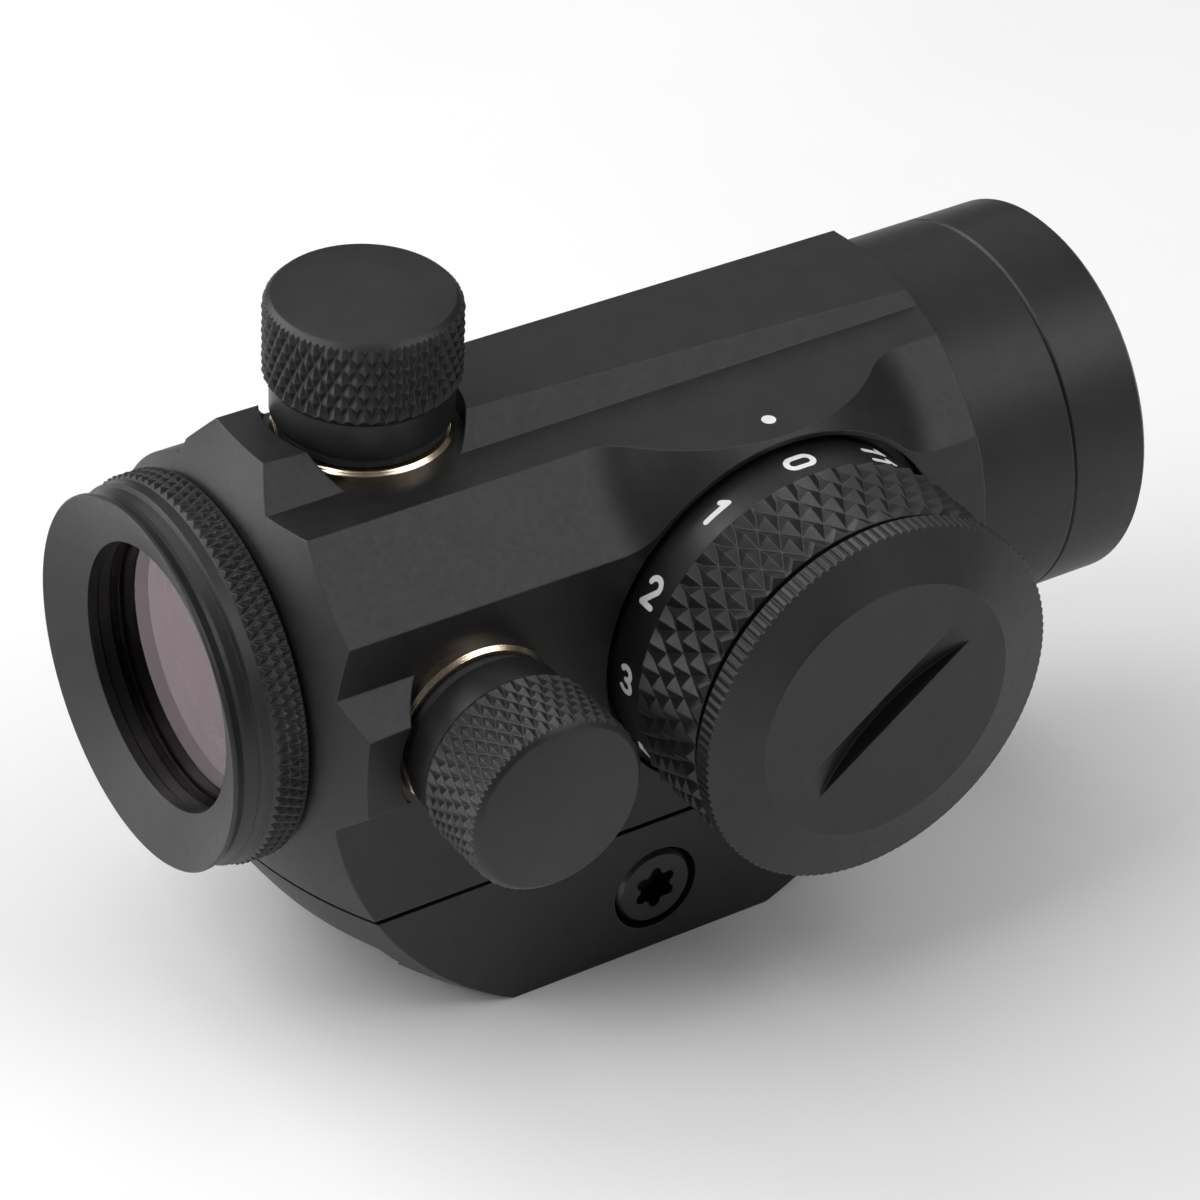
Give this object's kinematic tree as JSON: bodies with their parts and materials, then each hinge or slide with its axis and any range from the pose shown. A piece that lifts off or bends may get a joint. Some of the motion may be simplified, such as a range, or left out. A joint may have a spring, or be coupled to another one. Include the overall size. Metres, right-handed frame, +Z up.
{
  "type": "red dot finder",
  "caption": "Compact tube red dot finder with capped elevation and windage turrets, a side brightness dial that holds the coin cell, and a rail clamp base.",
  "frame": {"origin": "centre of the rail clamp, at the height of the rail's top face", "axes": "+Y along the tube from the eyepiece to the objective, +X towards the brightness dial, +Z up from the rail"},
  "size_m": [0.0419, 0.069, 0.0477],
  "materials": {
    "black_anodised": "matte bead-blasted black anodising",
    "front_glass": "polished, anti-reflection coated",
    "rear_glass": "polished, pink anti-reflection coating",
    "reflector_glass": "polished, red-reflecting coating on the cemented face",
    "black_rubber": "matte",
    "brass": "fine turned",
    "steel": "fine turned",
    "black_steel": "black oxide",
    "contact_brass": "gold flashed",
    "black_plastic": "moulded, matte",
    "board": "solder mask",
    "white_paint": "filled paint",
    "led_red": "clear red resin",
    "cell_steel": "bright nickel-plated steel"
  },
  "bodies": {
    "housing": {"main_housing": "black_anodised", "objective_ring": "black_anodised", "front_window": "front_glass", "front_seal": "black_rubber", "front_retainer": "black_anodised", "eyepiece_bezel": "black_anodised", "eyepiece_ring": "black_anodised", "rear_lens": "rear_glass", "rear_retainer": "black_anodised", "mount_base": "black_anodised", "base_screws": "steel", "guide_pins": "steel", "index_dot": "white_paint", "elevation_body": "brass", "windage_body": "brass", "turret_seals": "black_rubber", "dial_hub": "black_plastic", "switch_board": "board", "hub_screws": "steel", "dial_seal": "black_rubber", "detent_ball": "steel", "detent_spring": "steel"},
    "gimbal": {"gimbal_ring": "black_anodised", "gimbal_pins": "steel"},
    "optics": {"inner_tube": "black_anodised", "reflector_front": "reflector_glass", "reflector_rear": "reflector_glass", "reflector_retainer": "black_anodised", "emitter_holder": "black_plastic", "led_emitter": "led_red", "tube_spring": "steel"},
    "elevation_cover": {"elevation_cap": "black_anodised"},
    "elevation_screw": {"elevation_drum": "brass", "elevation_clip": "steel"},
    "elevation_plunger": {"elevation_pin": "steel"},
    "windage_cover": {"windage_cap": "black_anodised"},
    "windage_screw": {"windage_drum": "brass", "windage_clip": "steel"},
    "windage_plunger": {"windage_pin": "steel"},
    "dial": {"brightness_dial": "black_anodised", "battery_tray": "black_plastic", "dial_wiper": "contact_brass", "coin_cell": "cell_steel", "cap_seal": "black_rubber"},
    "battery_cover": {"battery_cap": "black_anodised", "cap_contact": "contact_brass"},
    "jaw": {"clamp_jaw": "black_anodised", "clamp_nut": "steel"},
    "cross_bolt": {"clamp_screw": "black_steel"}
  },
  "joints": [
    {"name": "gimbal_yaw", "type": "hinge", "parent": "housing", "child": "gimbal", "pos_m": [0, 0.017, 0.0182], "axis": [0, 0, -1], "range_deg": [-0.5, 0.5]},
    {"name": "tube_pitch", "type": "hinge", "parent": "gimbal", "child": "optics", "pos_m": [0, 0.017, 0.0182], "axis": [1, 0, 0], "range_deg": [-0.5, 0.5]},
    {"name": "elevation_turn", "type": "hinge", "parent": "housing", "child": "elevation_screw", "pos_m": [0, -0.0179, 0.0182], "axis": [0, 0, 1], "range_deg": [-219, 219]},
    {"name": "elevation_feed", "type": "slide", "parent": "housing", "child": "elevation_plunger", "axis": [0, 0, -1], "range_m": [-0.000304, 0.000304]},
    {"name": "windage_turn", "type": "hinge", "parent": "housing", "child": "windage_screw", "pos_m": [0, -0.0179, 0.0182], "axis": [1, 0, 0], "range_deg": [-219, 219]},
    {"name": "windage_feed", "type": "slide", "parent": "housing", "child": "windage_plunger", "axis": [-1, 0, 0], "range_m": [-0.000304, 0.000304]},
    {"name": "elevation_cap_off", "type": "slide", "parent": "housing", "child": "elevation_cover", "axis": [0, 0, 1], "range_m": [0, 0.012]},
    {"name": "windage_cap_off", "type": "slide", "parent": "housing", "child": "windage_cover", "axis": [1, 0, 0], "range_m": [0, 0.012]},
    {"name": "dial_turn", "type": "hinge", "parent": "housing", "child": "dial", "pos_m": [0.012, 0.005, 0.0182], "axis": [-1, 0, 0], "range_deg": [0, 330]},
    {"name": "battery_cap_off", "type": "slide", "parent": "dial", "child": "battery_cover", "axis": [1, 0, 0], "range_m": [0, 0.012]},
    {"name": "clamp_turn", "type": "hinge", "parent": "housing", "child": "cross_bolt", "pos_m": [0.013, -0.0032, -0.001], "axis": [1, 0, 0], "range_deg": [0, 1080]},
    {"name": "clamp_slide", "type": "slide", "parent": "housing", "child": "jaw", "axis": [-1, 0, 0], "range_m": [0, 0.0021]}
  ],
  "couplings": [
    {"joint": "elevation_turn", "follows": "elevation_feed", "rad_per_m": 12566},
    {"joint": "tube_pitch", "follows": "elevation_feed", "rad_per_m": 28.653},
    {"joint": "windage_turn", "follows": "windage_feed", "rad_per_m": 12566},
    {"joint": "gimbal_yaw", "follows": "windage_feed", "rad_per_m": 28.653},
    {"joint": "clamp_turn", "follows": "clamp_slide", "rad_per_m": 8976}
  ]
}
